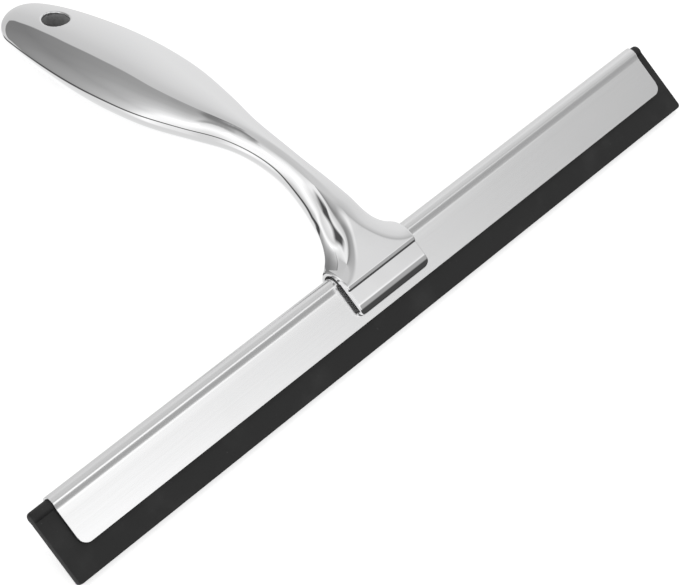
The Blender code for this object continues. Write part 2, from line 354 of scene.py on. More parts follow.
steps_along = np.arange(-SAMPLES_PAST_ENDS, round(GRIP_LENGTH / SAMPLE) + SAMPLES_PAST_ENDS + 1)
line_distance = steps_along * SAMPLE
line_slope, line_width, line_thickness = smooth_columns(line_distance, GRIP_STATIONS).T
line_slope = np.radians(line_slope)
line_y = np.cumsum(np.cos(line_slope)) * SAMPLE
line_z = -np.cumsum(np.sin(line_slope)) * SAMPLE
line_bend = np.gradient(line_slope, SAMPLE)
line_y += CENTRELINE_START[0] - line_y[SAMPLES_PAST_ENDS]
line_z += CENTRELINE_START[1] - line_z[SAMPLES_PAST_ENDS]
hole_i = SAMPLES_PAST_ENDS + round(HOLE_AT / SAMPLE)
hole_y, hole_z = line_y[hole_i], line_z[hole_i]
lean_y, lean_z = math.cos(HOLE_LEAN), -math.sin(HOLE_LEAN)


def nearest_sample(y, z):
    """The index of the centreline's sample nearest to each point: a coarse search, then a fine one."""
    coarse = np.arange(0, len(line_y), 8)
    gaps = (y[:, None] - line_y[coarse]) ** 2 + (z[:, None] - line_z[coarse]) ** 2
    window = coarse[np.argmin(gaps, axis=1)][:, None] + np.arange(-8, 9)
    window = np.clip(window, 0, len(line_y) - 1)
    gaps = (y[:, None] - line_y[window]) ** 2 + (z[:, None] - line_z[window]) ** 2
    return window[np.arange(len(y)), np.argmin(gaps, axis=1)]


def fillet_union(a, b, radius):
    """The nearer of two surfaces, with a round fillet where they meet."""
    inner = np.hypot(np.maximum(radius - a, 0), np.maximum(radius - b, 0))
    return np.maximum(np.minimum(a, b), radius) - inner


def round_overlap(a, b, radius):
    """What two solids share, with its edge rounded."""
    outer = np.hypot(np.maximum(a + radius, 0), np.maximum(b + radius, 0))
    return np.minimum(np.maximum(a, b), -radius) + outer


def slab(value, low, high):
    """Distance outside a slab between two planes, negative within it."""
    return np.abs(value - (low + high) / 2) - (high - low) / 2


def block(y, z, y_low, y_high, z_low, z_high, radius):
    """Distance to a rectangle with round corners."""
    return round_overlap(slab(y, y_low, y_high), slab(z, z_low, z_high), radius)


NECK_SQUARENESS = 0.5
SQUARE_UNTIL = 0.030

# The bell's edge in plan: a stretched quarter round from the saddle's top corner in to the neck.
FLARE_CENTRE = (0.0149, 0.0380)
FLARE_REACH = (0.0090, 0.0188)
FLARE_POWER = 1.7
BELL_ROUND = 0.0078
BELL_CORNER = 0.0026
BELL_TO_NECK = (0.0215, 0.0335)
STEP_SLOPE = 0.0009
STEP_TILT = math.radians(19)
STEP_FOOT = 0.0003

turns = np.radians(np.linspace(90, 0, 60))
flare_u = FLARE_CENTRE[0] - FLARE_REACH[0] * np.cos(turns) ** (2 / FLARE_POWER)
flare_y = FLARE_CENTRE[1] - FLARE_REACH[1] * np.sin(turns) ** (2 / FLARE_POWER)


def bell_distance(u, y):
    """Distance in plan from the bell's edge, negative inside: a saddle bar that flares up into the neck."""
    shape = np.broadcast(u, y).shape
    u, y = (np.broadcast_to(value, shape).ravel() for value in (np.abs(u), y))
    gap = np.full(len(u), 1.0)
    for i in range(len(turns) - 1):
        step_u, step_y = flare_u[i + 1] - flare_u[i], flare_y[i + 1] - flare_y[i]
        share = ((u - flare_u[i]) * step_u + (y - flare_y[i]) * step_y) / (step_u ** 2 + step_y ** 2)
        share = np.clip(share, 0, 1)
        np.minimum(gap, np.hypot(u - flare_u[i] - share * step_u, y - flare_y[i] - share * step_y), out=gap)
    gap = np.where(u > flare_u[0], np.minimum(gap, np.abs(y - flare_y[0])), gap)
    edge = np.interp(y, flare_y, flare_u)
    inside = (y < flare_y[0]) | ((u < edge) & (y > flare_y[0]))
    return np.where(inside, -gap, gap).reshape(shape)


def oval_distance(across, out, half_width, half_thickness, power):
    """(k, slope of k): k is 1 on a rounded section, less inside it and more outside."""
    p, q = np.abs(across / half_width) + 1e-6, np.abs(out / half_thickness) + 1e-6
    k = (p ** power + q ** power) ** (1 / power)
    slope = np.hypot(p ** (power - 1) / half_width, q ** (power - 1) / half_thickness) * k ** (1 - power)
    return k, slope


def plane_values(y, z):
    """Everything about the casting that doesn't depend on the place along the blade, for points (y, z)."""
    i = nearest_sample(y, z)
    along_y, along_z = np.cos(line_slope[i]), -np.sin(line_slope[i])
    gap_y, gap_z = y - line_y[i], z - line_z[i]
    out = gap_z * along_y - gap_y * along_z
    distance = line_distance[i] + (gap_y * along_y + gap_z * along_z) / (1 + out * line_bend[i])
    fade = np.clip(1 - distance / SQUARE_UNTIL, 0, 1)
    grip = {
        "distance": distance,
        "out": out,
        "half_width": np.interp(distance, line_distance, line_width) / 2,
        "half_thickness": np.interp(distance, line_distance, line_thickness) / 2,
        "power": 2 + NECK_SQUARENESS * fade * fade * (3 - 2 * fade),
        "past_tip": np.maximum(distance - (GRIP_LENGTH - TIP_LENGTH), 0) / TIP_LENGTH,
    }
    middle = -MOUTH_DEPTH
    rear = block(y, z, REAR_MOUTH, REAR_TOP, -REAR_OUTER, middle, REAR_ROUND)
    low_y, low_z = SADDLE_MOUTH * LIP_SQUASH, LIP_FRONT - 2 * LIP_ROUND
    lip = block(y * LIP_SQUASH, z, low_y, BEAD_HEIGHT, low_z, LIP_FRONT, LIP_ROUND)
    lip = np.maximum(lip, y - BEAD_HEIGHT)
    over_front = z - middle - ARCH_OUTER
    drop = STEP_SLOPE * math.tan(STEP_TILT)
    slope = (STEP_HEIGHT + STEP_SLOPE - y) * math.sin(STEP_TILT) + over_front * math.cos(STEP_TILT)
    steep_drop = middle + ARCH_OUTER - LIP_FRONT - drop
    steep = (STEP_HEIGHT - y) * steep_drop + (over_front + drop) * STEP_FOOT
    step = np.maximum(slope, steep / math.hypot(steep_drop, STEP_FOOT))
    bore = np.hypot(y - BEAD_AXIS, z - middle) - ARCH_INNER
    legs = block(y, z, BELOW_MOUTH, BEAD_HEIGHT, middle, CLEARANCE, SLOT_CORNER)
    # Known fault: the pocket stops short of the bead's bore. The rib left between them crosses the channel's
    # rear leg and the strip's web.
    pocket_top, pocket_front = BEAD_HEIGHT - POCKET_DROP, middle + POCKET_LAP
    pocket = block(y, z, BELOW_MOUTH, pocket_top, -REAR_INNER, pocket_front, SLOT_CORNER)
    neck = np.clip((y - BELL_TO_NECK[0]) / (BELL_TO_NECK[1] - BELL_TO_NECK[0]), 0, 1)
    hollow = block(y, z, LIP_SOLID, BEAD_HEIGHT, middle, LIP_HOLLOW, HOLLOW_CORNER)
    return {
        "grip": grip,
        "neck": neck * neck * (3 - 2 * neck),
        "rear": rear,
        "lip": lip,
        "step": step,
        "depth": slab(z, middle - ARCH_OUTER, middle + ARCH_OUTER),
        "y": y,
        "z": z,
        "slot": np.minimum(np.minimum(bore, hollow), np.minimum(legs, pocket)),
        "hole_along": (y - hole_y) * lean_y + (z - hole_z) * lean_z,
    }


LIP_CORNER = 0.0022
LIP_TUCK = 0.0003
LIP_ARRIS = 0.0004
SADDLE_EDGE = 0.0006
STEP_FILLET = 0.00012
REAR_FILLET = 0.0012


def casting_distance(x, plane):
    """Distance to the casting's surface, negative inside it."""
    u = x - HANDLE_OFFSET
    grip = plane["grip"]
    k, slope = oval_distance(u, grip["out"], grip["half_width"], grip["half_thickness"], grip["power"])
    past = grip["past_tip"]
    whole = (k ** TIP_POWER + past ** TIP_POWER) ** (1 / TIP_POWER)
    pulls = (k ** (TIP_POWER - 1) * slope, past ** (TIP_POWER - 1) / TIP_LENGTH)
    steep = np.hypot(*pulls) / np.maximum(whole, 1e-3) ** (TIP_POWER - 1)
    oval = (whole - 1) / steep
    side = np.abs(u) - SADDLE_HALF
    flare = bell_distance(u, plane["y"])
    bell = round_overlap(flare, plane["depth"], BELL_ROUND)
    bell = round_overlap(np.maximum(bell, plane["step"]), side, SADDLE_EDGE)
    plan_corner = round_overlap(flare - SADDLE_EDGE / 2, side - SADDLE_EDGE / 2, BELL_CORNER)
    bell = round_overlap(bell, plan_corner, SADDLE_EDGE)
    rear = round_overlap(plane["rear"], side, SADDLE_EDGE)
    plan_low, plan_high = SADDLE_MOUTH - LIP_TUCK, 2 * BEAD_HEIGHT
    plan = block(u, plane["y"], -SADDLE_HALF, SADDLE_HALF, plan_low, plan_high, LIP_CORNER)
    lip = round_overlap(plan, plane["lip"], LIP_ARRIS)
    body = bell + plane["neck"] * (oval - bell)
    body = fillet_union(fillet_union(body, rear, REAR_FILLET), lip, STEP_FILLET)
    body = round_overlap(body, -plane["slot"], SLOT_EDGE)
    k, slope = oval_distance(u, plane["hole_along"], HOLE_ACROSS, HOLE_ALONG, 2)
    body = round_overlap(body, -(k - 1) / slope, HOLE_RIM)
    past_rear = plane["z"] + REAR_INNER - POCKET_LAP
    for centre in (-SCREW_REACH, SCREW_REACH):
        bore = np.hypot(u - centre, plane["y"] - SCREW_HEIGHT) - SCREW_BORE
        body = round_overlap(body, -np.maximum(bore, past_rear), SCREW_BORE_EDGE)
    return body


def graded_axis(low, high, fine_spans, fine, coarse):
    """Grid places from low to high, closer together inside the fine spans."""
    places, at = [low], low
    while at < high:
        close = any(a - coarse <= at <= b for a, b in fine_spans)
        at += fine if close else coarse
        places.append(at)
    return np.array(places)


def surface_net(values, axes):
    """A closed skin of quads where the grid's values change sign: one point in each cell that is crossed."""
    inside = values < 0
    nx, ny, nz = (n - 1 for n in values.shape)
    corners = [(a, b, c) for a in (0, 1) for b in (0, 1) for c in (0, 1)]
    count = sum(inside[a:a + nx, b:b + ny, c:c + nz].astype(int) for a, b, c in corners)
    cell = np.argwhere((count > 0) & (count < 8))
    number = np.full((nx, ny, nz), -1)
    number[tuple(cell.T)] = np.arange(len(cell))
    total, hits = np.zeros((len(cell), 3)), np.zeros(len(cell))
    for start in corners:
        for axis in range(3):
            if start[axis]:
                continue
            end = [start[i] + (i == axis) for i in range(3)]
            a = values[tuple((cell + start).T)]
            b = values[tuple((cell + end).T)]
            crossed = (a < 0) != (b < 0)
            share = np.where(crossed, a / np.where(crossed, a - b, 1), 0)
            place = np.repeat(np.array([start], float), len(cell), axis=0)
            place[:, axis] += share
            total[crossed] += place[crossed]
            hits += crossed
    inner = total / hits[:, None]
    points = np.stack([
        places[cell[:, i]] + inner[:, i] * (places[cell[:, i] + 1] - places[cell[:, i]])
        for i, places in enumerate(axes)
    ], axis=1)
    faces = []
    for axis in range(3):
        other, third = (axis + 1) % 3, (axis + 2) % 3
        first = np.moveaxis(inside, (axis, other, third), (0, 1, 2))
        cells = np.moveaxis(number, (axis, other, third), (0, 1, 2))
        changed = np.argwhere(first[:-1, 1:-1, 1:-1] != first[1:, 1:-1, 1:-1])
        i, j, k = changed[:, 0], changed[:, 1] + 1, changed[:, 2] + 1
        around = [cells[i, j - 1, k - 1], cells[i, j, k - 1], cells[i, j, k], cells[i, j - 1, k]]
        quad = np.stack(around, axis=1)
        flip = ~first[i, j, k]
        quad[flip] = quad[flip][:, ::-1]
        faces.append(quad)
    return points, np.concatenate(faces)


def slope_of_distance(points, reach):
    """The outward unit normal of the casting near each point."""
    slope = np.zeros_like(points)
    for axis in range(3):
        for sign in (-1, 1):
            moved = points.copy()
            moved[:, axis] += sign * reach
            plane = plane_values(moved[:, 1], moved[:, 2])
            slope[:, axis] += sign * casting_distance(moved[:, 0], plane)
    return slope / np.linalg.norm(slope, axis=1)[:, None]


# The grid is finer round the saddle, at its two end faces and at the hole. These are half widths in x, then
# spans in y and z.
FINE, COARSE = 0.00032, 0.0009
END_FINE, END_COARSE = 0.0002, 0.0006
GRID_HALF = 0.0156
GRID_MIDDLE_HALF = 0.0050
END_INSIDE, END_OUTSIDE = 0.0012, 0.0010
GRID_Y_START = 0.0012
GRID_Z_TOP = 0.0052
GRID_MARGIN = 0.006
SADDLE_SPAN_Y = (0, 0.022)
SADDLE_SPAN_Z = (-0.011, 0.006)
HOLE_SPAN_Y = 0.007
HOLE_SPAN_Z = 0.009

ends = [HANDLE_OFFSET + side * SADDLE_HALF for side in (-1, 1)]
ends = [(end - END_INSIDE, end + END_OUTSIDE) for end in ends]
x_axis = graded_axis(HANDLE_OFFSET - GRID_HALF, HANDLE_OFFSET - GRID_MIDDLE_HALF, ends, END_FINE, END_COARSE)
x_axis = np.concatenate([x_axis[:-1], np.arange(x_axis[-1], HANDLE_OFFSET + GRID_MIDDLE_HALF, FINE)])
right_side = graded_axis(x_axis[-1], HANDLE_OFFSET + GRID_HALF, ends, END_FINE, END_COARSE)
x_axis = np.concatenate([x_axis[:-1], right_side])
y_spans = [SADDLE_SPAN_Y, (hole_y - HOLE_SPAN_Y, hole_y + HOLE_SPAN_Y)]
z_spans = [SADDLE_SPAN_Z, (hole_z - HOLE_SPAN_Z, hole_z + HOLE_SPAN_Z)]
y_axis = graded_axis(GRID_Y_START, line_y[-1] + GRID_MARGIN, y_spans, FINE, COARSE)
z_axis = graded_axis(line_z[-1] - GRID_MARGIN, GRID_Z_TOP, z_spans, FINE, COARSE)
grid_y, grid_z = (g.ravel() for g in np.meshgrid(y_axis, z_axis, indexing="ij"))
flat = plane_values(grid_y, grid_z)
shape = (len(y_axis), len(z_axis))
flat = {key: ({k: v.reshape(shape) for k, v in value.items()} if key == "grip" else value.reshape(shape))
        for key, value in flat.items()}
flat["y"] = y_axis[:, None]
values = np.stack([casting_distance(x, flat) for x in x_axis])
points, faces = surface_net(values, (x_axis, y_axis, z_axis))

# Each point is moved on to the exact surface.
MOVE_REACH = 0.00005
LONGEST_MOVE = 0.0004
NORMAL_REACH = 0.00012
for _ in range(3):
    normals = slope_of_distance(points, MOVE_REACH)
    gap = casting_distance(points[:, 0], plane_values(points[:, 1], points[:, 2]))
    points -= normals * np.clip(gap, -LONGEST_MOVE, LONGEST_MOVE)[:, None]
normals = slope_of_distance(points, NORMAL_REACH)

to_row = np.array(lay)
handle_mesh = bpy.data.meshes.new("cast_handle")
handle_mesh.from_pydata((points @ to_row[:3, :3].T + to_row[:3, 3]).tolist(), [], faces.tolist())
handle_mesh.polygons.foreach_set("use_smooth", [True] * len(handle_mesh.polygons))
handle_mesh.normals_split_custom_set_from_vertices((normals @ to_row[:3, :3].T).tolist())
handle = bpy.data.objects.new("cast_handle", handle_mesh)
bpy.context.scene.collection.objects.link(handle)


def marks_group(name, inputs, outputs):
    """An empty node group with named numbers in and out, and its two end nodes."""
    group = bpy.data.node_groups.new(name, "ShaderNodeTree")
    for label, value in inputs:
        socket = group.interface.new_socket(name=label, in_out="INPUT", socket_type="NodeSocketFloat")
        socket.default_value = value
    for label in outputs:
        group.interface.new_socket(name=label, in_out="OUTPUT", socket_type="NodeSocketFloat")
    return group, group.nodes.new("NodeGroupInput"), group.nodes.new("NodeGroupOutput")


def placed(tree, group, **values):
    """One of the node groups, placed in a material with its own values."""
    node = tree.nodes.new("ShaderNodeGroup")
    node.node_tree = group
    for name, value in values.items():
        node.inputs[name.replace("_", " ")].default_value = value
    return node


def noise_in(tree, vector, scale, detail, roughness=0.5):
    """The grey value of a noise texture over a vector."""
    values = {"Vector": vector, "Scale": scale, "Detail": detail, "Roughness": roughness}
    return add_node(tree, "TexNoise", values).outputs["Fac"]


def bumped(tree, shader, height, distance, strength=1.0):
    """Feeds a height in metres times distance to the shader's normal."""
    bump = add_node(tree, "Bump", {"Height": height, "Distance": distance, "Strength": strength})
    tree.links.new(bump.outputs["Normal"], shader.inputs["Normal"])


# Where edges stand out, the finish is rubbed: Mask is 1 on a worn edge, broken up by fine noise.
edge_wear, start, end = marks_group("edge_wear", [("Sharpness", 0.56), ("Break Up", 900.0)], ["Mask"])
place = add_node(edge_wear, "TexCoord").outputs["Object"]
pointed = add_node(edge_wear, "NewGeometry").outputs["Pointiness"]
speckle = noise_in(edge_wear, place, start.outputs["Break Up"], 3.0)
reach = sum_of(edge_wear, "MULTIPLY_ADD", speckle, 0.06, sum_of(edge_wear, "SUBTRACT", pointed, 0.03))
rise = {"Value": reach, "From Min": start.outputs["Sharpness"], "From Max": 0.66}
worn = add_node(edge_wear, "MapRange", rise)
edge_wear.links.new(worn.outputs["Result"], end.inputs["Mask"])

# Handling: Smudge is a soft cloud of finger marks, Hairline a few faint scratches.
handling, start, end = marks_group("handling_marks", [("Smudge Scale", 60.0), ("Hairline Scale", 220.0)],
                                   ["Smudge", "Hairline"])
place = add_node(handling, "TexCoord").outputs["Object"]
cloud = noise_in(handling, place, start.outputs["Smudge Scale"], 4.0)
handling.links.new(eased(handling, cloud, 0.5, 0.72), end.inputs["Smudge"])
stretch = {"Vector": place, "Rotation": (0.3, 0.2, 0.7), "Scale": (1.0, 0.05, 1.0)}
drawn = add_node(handling, "Mapping", stretch)
lines = noise_in(handling, drawn.outputs["Vector"], start.outputs["Hairline Scale"], 6.0, 0.7)
handling.links.new(eased(handling, lines, 0.66, 0.74), end.inputs["Hairline"])

# A buffed casting is never quite flat: Height rolls gently over 10 to 20 mm.
rolling, start, end = marks_group("buffed_waves", [("Scale", 70.0)], ["Height"])
place = add_node(rolling, "TexCoord").outputs["Object"]
rolling.links.new(noise_in(rolling, place, start.outputs["Scale"], 1.0, 0.4), end.inputs["Height"])

CHROME_BRIGHT = (0.93, 0.93, 0.935, 1)
CHROME_RUBBED = (0.86, 0.86, 0.85, 1)
chrome, tree, shader = material_tree("chrome_plate")
shader.inputs["Metallic"].default_value = 1
wear = placed(tree, edge_wear, Sharpness=0.58, Break_Up=900.0)
marks = placed(tree, handling, Smudge_Scale=55.0, Hairline_Scale=260.0)
rub = sum_of(tree, "MULTIPLY", wear.outputs["Mask"], 0.6)
tint = add_node(tree, "Mix", {"Factor": rub, 6: CHROME_BRIGHT, 7: CHROME_RUBBED}, data_type="RGBA")
tree.links.new(tint.outputs[2], shader.inputs["Base Color"])
dull = sum_of(tree, "MULTIPLY_ADD", marks.outputs["Smudge"], 0.035, 0.025)
dull = sum_of(tree, "MULTIPLY_ADD", marks.outputs["Hairline"], 0.05, dull)
dull = sum_of(tree, "MULTIPLY_ADD", wear.outputs["Mask"], 0.08, dull)
tree.links.new(dull, shader.inputs["Roughness"])
bumped(tree, shader, placed(tree, rolling, Scale=75.0).outputs["Height"], 0.00004)
handle_mesh.materials.append(chrome)
bare, tree, shader = material_tree("unplated_bore")
grit = noise_in(tree, add_node(tree, "TexCoord").outputs["Object"], 1400.0, 4.0, 0.6)
tint = add_node(tree, "Mix", {"Factor": grit, 6: grey(0.34), 7: grey(0.52)}, data_type="RGBA")
tree.links.new(tint.outputs[2], shader.inputs["Base Color"])
shader.inputs["Metallic"].default_value = 0.15
tree.links.new(sum_of(tree, "MULTIPLY_ADD", grit, 0.2, 0.45), shader.inputs["Roughness"])
bumped(tree, shader, grit, 0.000012)
handle_mesh.materials.append(bare)

# Faces in the hanging hole and in the slot are bare metal.
BORE_REACH = 1.08
BORE_DEPTH = 0.0012
GRIP_FROM = 0.05
SLOT_SKIN = 0.00012
SLOT_MARGIN = 0.0004
middles = points[faces].mean(axis=1)
plane = plane_values(middles[:, 1], middles[:, 2])
across = middles[:, 0] - HANDLE_OFFSET
ring = np.hypot(across / HOLE_ACROSS, plane["hole_along"] / HOLE_ALONG)
deep = np.abs(plane["grip"]["out"]) < plane["grip"]["half_thickness"] - BORE_DEPTH
in_bore = (ring < BORE_REACH) & (middles[:, 1] > GRIP_FROM) & deep
in_slot = (plane["slot"] < SLOT_SKIN) & (np.abs(across) < SADDLE_HALF - SLOT_MARGIN)
handle_mesh.polygons.foreach_set("material_index", (in_bore | in_slot).astype(int))
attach(handle, "handle")
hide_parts("handle")


# ---- Blade channel ----
# One strip of polished stainless sheet, folded round into a tube, the bead, with two flat legs that grip
# the rubber. It is rolled and ground along its length, and its lower corners are cut round.

CHANNEL_OFFSET = 0.0018
CHANNEL_HALF = 0.1220
SHEET = 0.0006
BEAD_RADIUS = 0.00266
CREASE = 0.0048
LEG_CORNER = 0.0030
SHEET_EDGE = 0.00014
MIDDLE = -MOUTH_DEPTH


def sheet_path(leg_bottom):
    """Places and outward normals (y, z, ny, nz) along the middle of the sheet, from leg foot to leg foot."""
    half = SHEET / 2
    rise = CREASE - MIDDLE
    crease_y = BEAD_AXIS - math.sqrt((BEAD_RADIUS + CREASE) ** 2 - rise ** 2)
    turn = math.atan2(rise, crease_y - BEAD_AXIS)
    front = [(leg_bottom + (crease_y - leg_bottom) * i / 5, -half, 0, 1) for i in range(6)]
    for i in range(1, 7):
        angle = -math.pi / 2 + (turn - math.pi / 2) * i / 6
        y, z = math.cos(angle), math.sin(angle)
        front.append((crease_y + (CREASE + half) * y, CREASE + (CREASE + half) * z, -y, -z))
    bead = []
    for i in range(1, 44):
        angle = turn * (1 - i / 22)
        y, z = math.cos(angle), math.sin(angle)
        bead.append((BEAD_AXIS + (BEAD_RADIUS - half) * y, MIDDLE + (BEAD_RADIUS - half) * z, y, z))
    rear = [(y, 2 * MIDDLE - z, ny, -nz) for y, z, ny, nz in reversed(front)]
    return front + bead + rear


def sheet_ring(x, leg_bottom, inset):
    """The sheet's section at x, its edges drawn in by inset."""
    path = sheet_path(leg_bottom + inset)
    thick = SHEET / 2 - inset
    outer = [(x, y + thick * ny, z + thick * nz) for y, z, ny, nz in path]
    inner = [(x, y - thick * ny, z - thick * nz) for y, z, ny, nz in reversed(path)]
    foot = leg_bottom + inset - SHEET_EDGE / 2
    rear_edge, front_edge = (x, foot, 2 * MIDDLE + SHEET / 2), (x, foot, -SHEET / 2)
    return outer + [rear_edge] + inner + [front_edge]


def skin(name, rings):
    """A smooth closed mesh over rings of equal length, given in the blade's axes, laid in place."""
    count = len(rings[0])
    faces = []
    for r in range(len(rings) - 1):
        low, high = r * count, (r + 1) * count
        faces += [(low + i, low + (i + 1) % count, high + (i + 1) % count, high + i) for i in range(count)]
    faces += [tuple(range(count)), tuple((len(rings) - 1) * count + i for i in range(count))]
    mesh = bpy.data.meshes.new(name)
    mesh.from_pydata([lay @ Vector(p) for ring in rings for p in ring], [], faces)
    shape = bmesh.new()
    shape.from_mesh(mesh)
    bmesh.ops.recalc_face_normals(shape, faces=shape.faces)
    shape.to_mesh(mesh)
    shape.free()
    mesh.shade_smooth()
    mesh.set_sharp_from_angle(angle=math.radians(32))
    obj = bpy.data.objects.new(name, mesh)
    bpy.context.scene.collection.objects.link(obj)
    return obj


def end_offsets(corner, steps):
    """(distance in from the end, how far the corner is still cut up) down a round corner."""
    turns = [math.pi / 2 * i / steps for i in range(steps + 1)]
    return [(corner * (1 - math.cos(t)), corner * (1 - math.sin(t))) for t in turns]


EDGE_SHOULDER = 0.00005
half_rings = []
for inward, raised in end_offsets(LEG_CORNER, 12):
    edge = [(0, 0)]
    if inward == 0:
        edge = [(0, SHEET_EDGE), (EDGE_SHOULDER, SHEET_EDGE / 3), (SHEET_EDGE, 0)]
    half_rings += [(CHANNEL_HALF - inward - step, raised, inset) for step, inset in edge]
half_rings.sort(reverse=True)
half_rings += [(CHANNEL_HALF * (1 - i / 6), 0, 0) for i in range(1, 6)]
left = [sheet_ring(CHANNEL_OFFSET - x, low, inset) for x, low, inset in half_rings]
right = [sheet_ring(CHANNEL_OFFSET + x, low, inset) for x, low, inset in reversed(half_rings)]
channel = skin("folded_channel", left + right)

# Rolled and ground metal: Grain runs along the blade in fine lines, Cloud is a slow change between them.
ground, start, end = marks_group("lengthwise_grain", [("Fineness", 900.0), ("Stretch", 0.02)],
                                 ["Grain", "Cloud"])
place = add_node(ground, "TexCoord").outputs["Object"]
pull = add_node(ground, "CombineXYZ", {0: start.outputs["Stretch"], 1: 1.0, 2: 1.0})
drawn = add_node(ground, "VectorMath", {0: place, 1: pull.outputs[0]}, operation="MULTIPLY").outputs[0]
fine = noise_in(ground, drawn, start.outputs["Fineness"], 3.0, 0.6)
ground.links.new(fine, end.inputs["Grain"])
ground.links.new(noise_in(ground, drawn, 160.0, 2.0), end.inputs["Cloud"])

SHEET_BRIGHT = (0.93, 0.93, 0.935, 1)
SHEET_DULL = (0.84, 0.84, 0.84, 1)
steel, tree, shader = material_tree("polished_sheet")
shader.inputs["Metallic"].default_value = 1
grain = placed(tree, ground, Fineness=1400.0, Stretch=0.012)
wear = placed(tree, edge_wear, Sharpness=0.56, Break_Up=1500.0)
marks = placed(tree, handling, Smudge_Scale=45.0, Hairline_Scale=300.0)
shade = sum_of(tree, "MULTIPLY", grain.outputs["Grain"], 0.5)
shade = sum_of(tree, "MULTIPLY_ADD", marks.outputs["Smudge"], 0.15, shade)
tint = add_node(tree, "Mix", {"Factor": shade, 6: SHEET_BRIGHT, 7: SHEET_DULL}, data_type="RGBA")
tree.links.new(tint.outputs[2], shader.inputs["Base Color"])
dull = sum_of(tree, "MULTIPLY_ADD", grain.outputs["Cloud"], 0.06, 0.15)
dull = sum_of(tree, "MULTIPLY_ADD", marks.outputs["Hairline"], 0.06, dull)
dull = sum_of(tree, "MULTIPLY_ADD", wear.outputs["Mask"], 0.10, dull)
tree.links.new(dull, shader.inputs["Roughness"])
bumped(tree, shader, grain.outputs["Grain"], 0.000004)
channel.data.materials.append(steel)
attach(channel, "blade_channel")
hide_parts("blade_channel")


# ---- Rubber strip ----
# One extrusion of soft black rubber: a round bulb that sits in the bead, a flat web between the legs and the
# lip that wipes. It is cut a little longer than the channel, and only its ends and its lip are seen.

STRIP_HALF = 0.1270
WEB_HALF = 0.0012
BULB_RADIUS = 0.00194
LIP_HEIGHT = 0.0076
STRIP_ARRIS = 0.00012
STRIP_CORNER = 0.0010
STRAIGHT_HALF = 0.1260
BEND_TOP = 0.0020
WEB_FOOT = 0.0022
BULB_TAPER = 0.6


def strip_ring(x, cut, inset):
    """The strip's section at x: cut shortens its top and foot, inset draws its sides in."""
    web = WEB_HALF - inset
    bulb = BULB_RADIUS - inset - BULB_TAPER * cut
    low = -LIP_HEIGHT + cut
    join = BEAD_AXIS - math.sqrt(bulb ** 2 - web ** 2)
    side = [(low, web - STRIP_ARRIS), (low + STRIP_ARRIS, web)]
    side += [(low + STRIP_ARRIS + (BEND_TOP - low) * i / 14, web) for i in range(1, 15)]
    side += [(WEB_FOOT + (join - WEB_FOOT) * i / 6, web) for i in range(1, 7)]
    turn = math.atan2(web, join - BEAD_AXIS)
    top = [(BEAD_AXIS + bulb * math.cos(turn * (1 - i / 12)), bulb * math.sin(turn * (1 - i / 12)))
           for i in range(1, 12)]
    half = side + top
    loop = half + [(BEAD_AXIS + bulb, 0)] + [(y, -z) for y, z in reversed(half)]
    return [(x, y, MIDDLE + z) for y, z in loop]


half_rings = [(STRIP_HALF - inward, cut, STRIP_ARRIS if cut == STRIP_CORNER else 0)
              for inward, cut in end_offsets(STRIP_CORNER, 7)]
half_rings += [(STRIP_HALF - STRIP_CORNER - STRAIGHT_HALF * i / 40, 0, 0) for i in range(1, 41)]
left = [strip_ring(-x, cut, inset) for x, cut, inset in half_rings[:-1]]
right = [strip_ring(x, cut, inset) for x, cut, inset in reversed(half_rings)]
strip = skin("rubber_strip", left + right)
RUBBER_BLACK = grey(0.021)
RUBBER_BLOOM = grey(0.045)
rubber, tree, shader = material_tree("black_rubber")
shader.inputs["Specular IOR Level"].default_value = 0.4
grain = placed(tree, ground, Fineness=700.0, Stretch=0.05)
wear = placed(tree, edge_wear, Sharpness=0.54, Break_Up=700.0)
place = add_node(tree, "TexCoord").outputs["Object"]
speckle = noise_in(tree, place, 2600.0, 2.0, 0.7)
bloom = eased(tree, noise_in(tree, place, 90.0, 4.0), 0.45, 0.75)
bloom = sum_of(tree, "MULTIPLY", sum_of(tree, "MULTIPLY_ADD", speckle, 0.6, 0.2), bloom)
dust = sum_of(tree, "MULTIPLY", eased(tree, noise_in(tree, place, 1100.0, 1.0), 0.76, 0.82), 2.5)
bloom = sum_of(tree, "ADD", sum_of(tree, "MULTIPLY_ADD", wear.outputs["Mask"], 0.5, bloom), dust)
tint = add_node(tree, "Mix", {"Factor": bloom, 6: RUBBER_BLACK, 7: RUBBER_BLOOM}, data_type="RGBA")
tree.links.new(tint.outputs[2], shader.inputs["Base Color"])
tree.links.new(sum_of(tree, "MULTIPLY_ADD", speckle, 0.2, 0.45), shader.inputs["Roughness"])
bumped(tree, shader, sum_of(tree, "MULTIPLY_ADD", grain.outputs["Grain"], 0.7, speckle), 0.000012)
strip.data.materials.append(rubber)
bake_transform(strip)
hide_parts("rubber_root", "rubber_lip")


# ---- Clamp plate ----
# A loose strip of plain rolled steel in the saddle, behind the channel. The two set screws push it forward,
# so that it spreads their grip over the channel's back leg. It is cut from strip and tumbled.

PLATE_HALF_LENGTH = 0.0120
PLATE_HALF_HEIGHT = 0.0028
PLATE_THICKNESS = 0.0008
PLATE_CORNER = 0.0012
PLATE_ARRIS = 0.00016


def plate_ring(z, inset):
    """A round-cornered rectangle at height z, drawn in by inset."""
    ring = []
    radius = PLATE_CORNER - inset
    for quarter in range(4):
        side_x, side_y = ((1, 1), (-1, 1), (-1, -1), (1, -1))[quarter]
        for i in range(9):
            turn = math.pi / 2 * (quarter + i / 8)
            x = side_x * (PLATE_HALF_LENGTH - PLATE_CORNER) + radius * math.cos(turn)
            y = side_y * (PLATE_HALF_HEIGHT - PLATE_CORNER) + radius * math.sin(turn)
            ring.append((HANDLE_OFFSET + x, SCREW_HEIGHT + y, z))
    return ring


